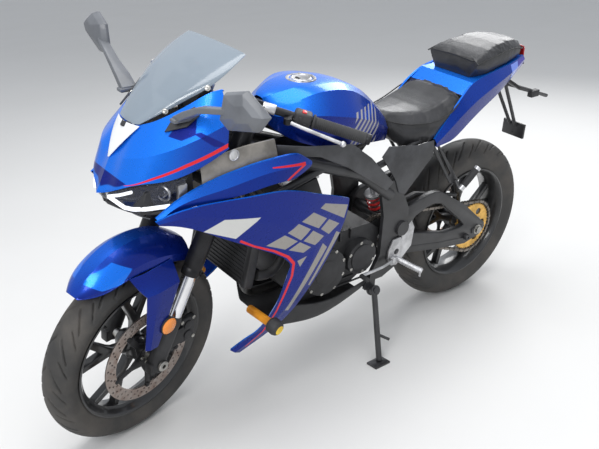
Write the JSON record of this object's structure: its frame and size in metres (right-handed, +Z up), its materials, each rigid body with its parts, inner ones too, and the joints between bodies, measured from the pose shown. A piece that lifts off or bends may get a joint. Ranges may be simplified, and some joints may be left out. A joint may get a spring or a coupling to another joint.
{
  "type": "sport motorcycle",
  "caption": "Fully faired sport motorcycle with two seats, leaning on its side stand with the handlebar turned to the left.",
  "frame": {"origin": "bottom centre of the machine's box on the floor, leaning on its side stand", "axes": "+X forward, +Y to the rider's left, +Z up"},
  "size_m": [2.0731, 0.9054, 1.1893],
  "materials": {
    "blue_paint": "gloss metallic blue",
    "black_frame_paint": "satin black",
    "black_plastic": "grained black",
    "engine_black": "satin black casting",
    "wheel_black": "gloss black",
    "tyre_rubber": "road rubber",
    "disc_steel": "ground steel",
    "gold_sprocket": "gold anodised",
    "chain_steel": "oiled steel",
    "fork_chrome": "bright chrome",
    "seat_vinyl": "black vinyl",
    "screen_smoke": "smoke acrylic",
    "lamp_glass": "clear lens over dark housing",
    "tail_red": "red lens",
    "silencer_black": "heat proof satin black",
    "footrest_alloy": "cast alloy",
    "slider_orange": "orange anodised"
  },
  "bodies": {
    "chassis": {"swingarm": "black_frame_paint", "rear_axle": "disc_steel", "spool_bosses": "black_frame_paint", "chain": "chain_steel", "chain_guard": "black_frame_paint", "main_frame": "black_frame_paint", "subframe": "black_frame_paint", "engine": "engine_black", "radiator": "engine_black", "exhaust": "silencer_black", "fuel_tank": "blue_paint", "filler_cap": "disc_steel", "rider_seat": "seat_vinyl", "pillion_seat": "seat_vinyl", "tail_cowl": "blue_paint", "tail_lamp": "tail_red", "plate_bracket": "black_frame_paint", "nose_cowl": "blue_paint", "windscreen": "screen_smoke", "headlight": "lamp_glass", "instruments": "black_plastic", "side_fairing_left": "blue_paint", "side_fairing_right": "blue_paint", "wing_left": "blue_paint", "wing_right": "blue_paint", "inner_panels": "black_plastic", "side_covers": "black_plastic", "belly_pan": "black_plastic", "mirrors": "black_plastic", "sliders": "slider_orange", "footrest_left": "footrest_alloy", "footrest_right": "footrest_alloy", "pillion_footrests": "black_frame_paint", "shock": "engine_black", "rear_caliper": "engine_black", "stand_bracket": "black_frame_paint"},
    "steering": {"yokes": "black_frame_paint", "fork_left": "fork_chrome", "fork_right": "fork_chrome", "front_axle": "disc_steel", "handlebar_left": "black_plastic", "handlebar_right": "black_plastic", "front_fender": "blue_paint", "front_caliper": "engine_black"},
    "front_wheel_body": {"front_tyre": "tyre_rubber", "front_wheel": "wheel_black", "front_disc": "disc_steel"},
    "rear_wheel_body": {"rear_tyre": "tyre_rubber", "rear_wheel": "wheel_black", "rear_disc": "disc_steel", "rear_sprocket": "gold_sprocket"},
    "stand": {"side_stand": "black_frame_paint"}
  },
  "joints": [
    {"name": "steering_turn", "type": "hinge", "parent": "chassis", "child": "steering", "pos_m": [0.44961, -0.02819, 0.8426], "axis": [-0.421, 0.1083, 0.9005], "range_deg": [-45.35, 18.65]},
    {"name": "front_wheel_spin", "type": "hinge", "parent": "steering", "child": "front_wheel_body", "pos_m": [0.74908, -0.08619, 0.2876], "axis": [-0.2094, 0.9544, -0.2127], "continuous": true},
    {"name": "rear_wheel_spin", "type": "hinge", "parent": "chassis", "child": "rear_wheel_body", "pos_m": [-0.61496, -0.09199, 0.31227], "axis": [0, 0.9928, -0.1194], "continuous": true},
    {"name": "side_stand_fold", "type": "hinge", "parent": "chassis", "child": "stand", "pos_m": [-0.07807, 0.03702, 0.22933], "axis": [0.1273, 0.9327, 0.3374], "range_deg": [0, 108]}
  ]
}
